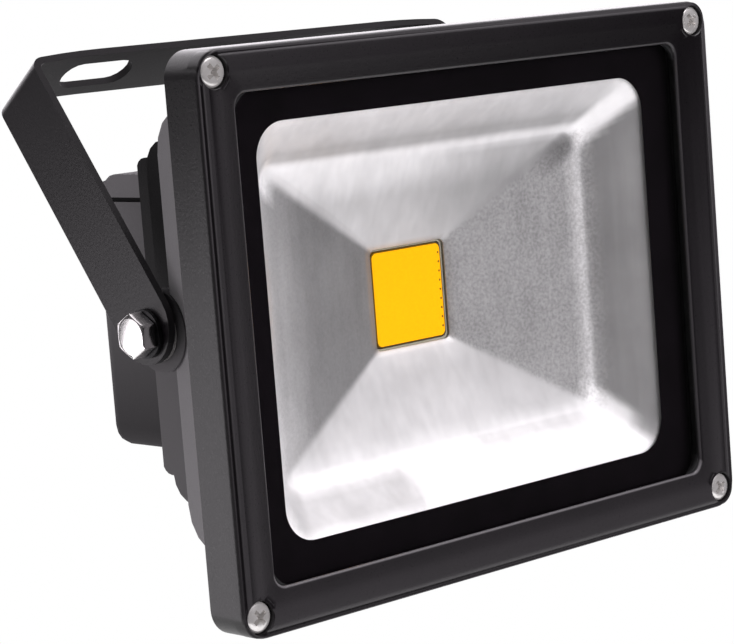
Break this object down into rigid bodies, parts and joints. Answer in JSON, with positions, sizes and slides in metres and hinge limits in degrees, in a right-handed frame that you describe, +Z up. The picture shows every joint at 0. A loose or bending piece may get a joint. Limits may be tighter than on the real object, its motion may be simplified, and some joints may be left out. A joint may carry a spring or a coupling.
{
  "type": "outdoor led floodlight",
  "caption": "Rectangular floodlight head with a finned cast body, a glazed reflector and a square LED, tilting in a bent steel mounting yoke.",
  "frame": {"origin": "centre of the mounting yoke's flat outer face", "axes": "+X along the pivot axis to the lamp's right seen from the front, +Y backwards from the glass, +Z up"},
  "size_m": [0.18, 0.1019, 0.1403],
  "materials": {
    "steel_black": "black powder coat on bent steel strap",
    "steel_dark": "black oxide on spring steel",
    "cast_black": "black powder coat on die-cast aluminium",
    "zinc": "bright zinc or nickel plating",
    "glass": "clear toughened float glass with a printed black border",
    "rubber": "black silicone rubber",
    "satin_aluminium": "satin anodised reflector sheet",
    "bare_aluminium": "bare aluminium base plate",
    "pad_grey": "grey thermal pad",
    "white": "white plastic and silicone",
    "phosphor": "yellow phosphor in clear silicone",
    "copper": "copper",
    "brass": "turned brass",
    "board_green": "green glass-fibre board",
    "tape_yellow": "yellow winding tape",
    "sleeve_black": "black sleeve or moulded case",
    "lead_red": "red insulation",
    "lead_black": "black insulation",
    "nylon_black": "black nylon"
  },
  "bodies": {
    "yoke": {"mounting_yoke": "steel_black", "flat_washer_left": "steel_dark", "flat_washer_right": "steel_dark"},
    "head": {"rear_housing": "cast_black", "front_bezel": "cast_black", "rear_cover": "cast_black", "glass_pane": "glass", "glass_seal": "rubber", "cover_gasket": "rubber", "gland_bush": "rubber", "reflector": "satin_aluminium", "led_base": "bare_aluminium", "led_dam": "white", "led_emitter": "phosphor", "led_tab_positive": "copper", "led_tab_negative": "copper", "thermal_pad": "pad_grey", "lead_red": "lead_red", "lead_black": "lead_black", "lock_washer_left": "zinc", "lock_washer_right": "zinc", "driver_board": "board_green", "driver_transformer": "tape_yellow", "driver_choke": "copper", "driver_rectifier": "sleeve_black", "terminal_block": "white", "gland_body": "nylon_black", "gland_locknut": "nylon_black", "gland_cap": "nylon_black", "bezel_screw_1": "zinc", "bezel_screw_2": "zinc", "bezel_screw_3": "zinc", "bezel_screw_4": "zinc", "cover_screw_1": "zinc", "cover_screw_2": "zinc", "cover_screw_3": "zinc", "cover_screw_4": "zinc", "led_screw_1": "zinc", "led_screw_2": "zinc", "led_screw_3": "zinc", "led_screw_4": "zinc", "board_screw_1": "zinc", "board_screw_2": "zinc", "board_screw_3": "zinc", "board_screw_4": "zinc", "board_spacer_1": "brass", "board_spacer_2": "brass", "board_spacer_3": "brass", "board_spacer_4": "brass", "driver_capacitor_1": "sleeve_black", "driver_capacitor_2": "sleeve_black"},
    "bolt_left": {"pivot_bolt_left": "zinc"},
    "bolt_right": {"pivot_bolt_right": "zinc"}
  },
  "joints": [
    {"name": "head_tilt", "type": "hinge", "parent": "yoke", "child": "head", "pos_m": [0, -0.04641, -0.06518], "axis": [1, 0, 0], "range_deg": [-45, 150]},
    {"name": "bolt_left_turn", "type": "hinge", "parent": "head", "child": "bolt_left", "pos_m": [0, -0.04641, -0.06518], "axis": [-1, 0, 0], "range_deg": [0, 360]},
    {"name": "bolt_right_turn", "type": "hinge", "parent": "head", "child": "bolt_right", "pos_m": [0, -0.04641, -0.06518], "axis": [1, 0, 0], "range_deg": [0, 360]}
  ]
}
